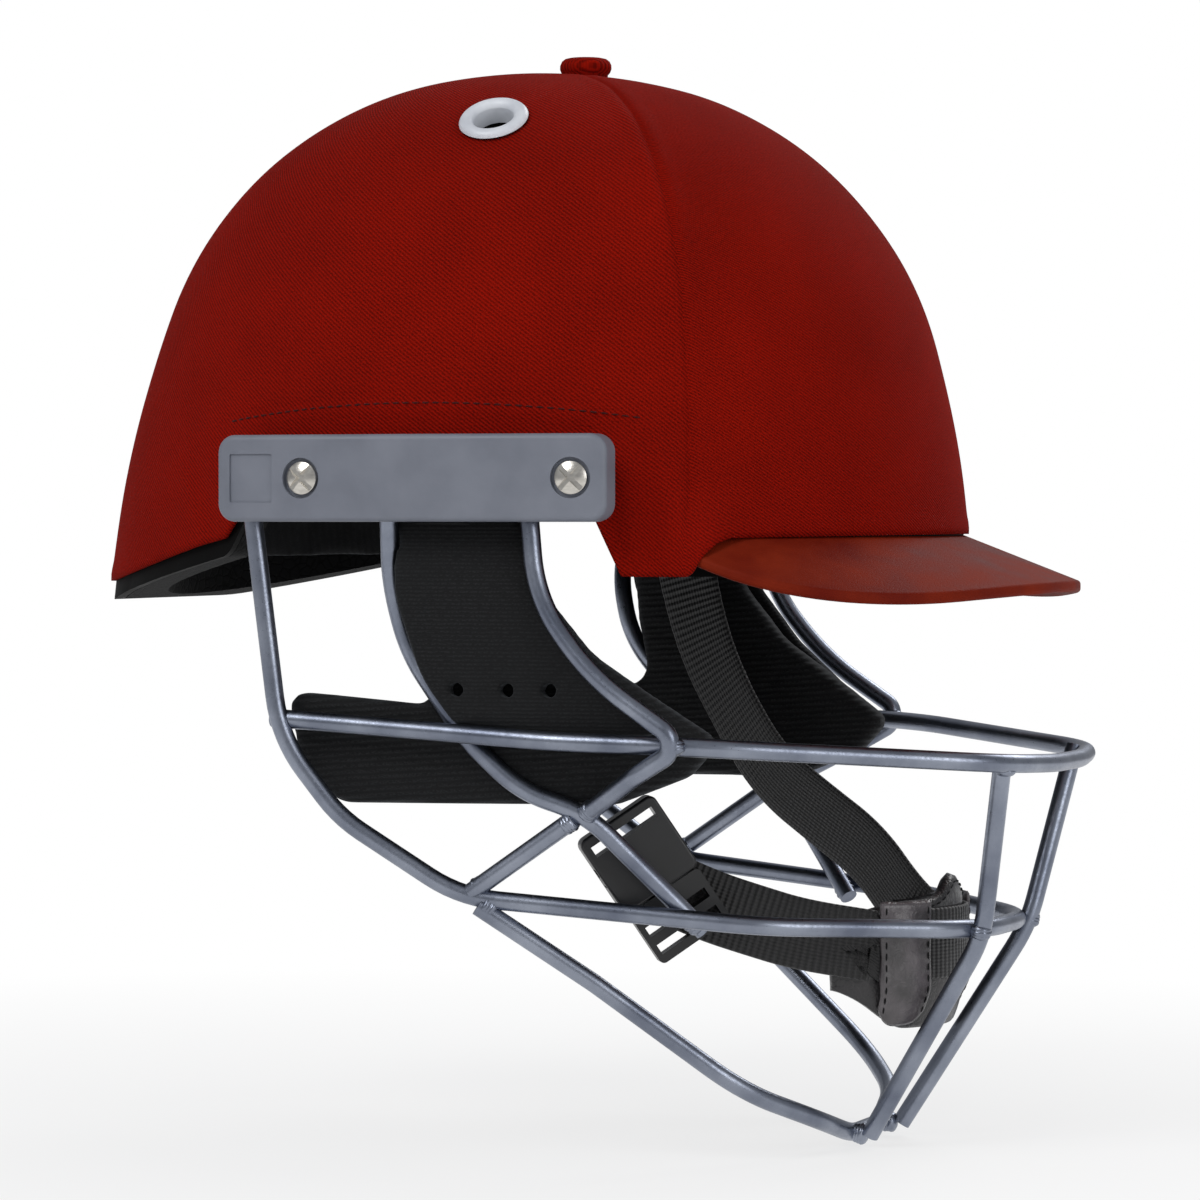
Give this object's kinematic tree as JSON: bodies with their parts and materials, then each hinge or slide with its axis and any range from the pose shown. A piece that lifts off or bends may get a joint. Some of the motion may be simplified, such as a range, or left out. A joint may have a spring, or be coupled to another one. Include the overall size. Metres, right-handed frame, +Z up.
{
  "type": "cricket helmet",
  "caption": "Cloth-covered cricket helmet with a short peak, a welded wire face grille held by side covers, foam cheek pads, and a chin strap with a cup and a side-release buckle.",
  "frame": {"origin": "middle of the head opening, level with the rear rim", "axes": "+X forward over the peak, +Y to the wearer's left, +Z up through the crown"},
  "size_m": [0.2912, 0.218, 0.3119],
  "materials": {
    "cloth": "woven wool-blend cap cloth",
    "shell": "matt moulded shell",
    "liner": "soft impact foam",
    "comfort": "knit-faced comfort foam",
    "peak": "glossy moulding",
    "eyelet": "satin white moulding",
    "cover": "satin grey moulding",
    "screw": "bright plated steel",
    "strip": "satin strip",
    "wire": "blue-grey titanium wire",
    "panel": "smooth knit over foam",
    "jaw": "ribbed knit over foam",
    "webbing": "ribbed woven webbing",
    "cup": "grained black leatherette",
    "buckle": "satin acetal",
    "rivet": "moulded rivet"
  },
  "bodies": {
    "helmet": {"cloth_cover": "cloth", "top_button": "cloth", "shell_moulding": "shell", "impact_liner": "liner", "peak": "peak", "eyelet_right": "eyelet", "eyelet_left": "eyelet", "front_sweatband": "comfort", "rear_pad": "comfort", "crown_pad": "comfort", "side_pad_right": "comfort", "side_pad_left": "comfort", "brow_bar": "wire", "face_loop": "wire", "chin_bar": "wire", "middle_stay_right": "wire", "front_stay_right": "wire", "brace_right": "wire", "front_upright_right": "wire", "side_cover_right": "cover", "side_strip_right": "strip", "side_packer_right": "rivet", "cover_screws_right": "screw", "tee_nuts_right": "screw", "ear_panel_right": "panel", "jaw_pad_right": "jaw", "strap_anchor_right": "rivet", "middle_stay_left": "wire", "front_stay_left": "wire", "brace_left": "wire", "front_upright_left": "wire", "side_cover_left": "cover", "side_strip_left": "strip", "side_packer_left": "rivet", "cover_screws_left": "screw", "tee_nuts_left": "screw", "ear_panel_left": "panel", "jaw_pad_left": "jaw", "strap_anchor_left": "rivet"},
    "chin_harness": {"chin_strap": "webbing", "buckle_strap": "webbing", "buckle_receptacle": "buckle", "buckle_insert": "buckle"},
    "cup_slider": {"chin_cup": "cup", "cup_sleeve_left": "cup", "cup_sleeve_right": "cup"},
    "front_arm": {"release_arm_front": "buckle"},
    "rear_arm": {"release_arm_rear": "buckle"}
  },
  "joints": [
    {"name": "harness_swing", "type": "hinge", "parent": "helmet", "child": "chin_harness", "pos_m": [0.012, 0, 0.037], "axis": [0, 1, 0], "range_deg": [-1.5, 30]},
    {"name": "cup_slide", "type": "hinge", "parent": "chin_harness", "child": "cup_slider", "pos_m": [0.096, 0, -0.096], "axis": [0, 0, 1], "range_deg": [-3, 3]},
    {"name": "front_arm_squeeze", "type": "hinge", "parent": "chin_harness", "child": "front_arm", "pos_m": [0.06848, -0.05902, -0.07369], "axis": [0.4819, -0.8762, 0], "range_deg": [0, 10], "stiffness_Nm_per_rad": 0.02},
    {"name": "rear_arm_squeeze", "type": "hinge", "parent": "chin_harness", "child": "rear_arm", "pos_m": [0.05453, -0.06669, -0.08443], "axis": [-0.4819, 0.8762, 0], "range_deg": [0, 10], "stiffness_Nm_per_rad": 0.02}
  ],
  "couplings": [
    {"joint": "rear_arm_squeeze", "follows": "front_arm_squeeze", "ratio": 1}
  ]
}
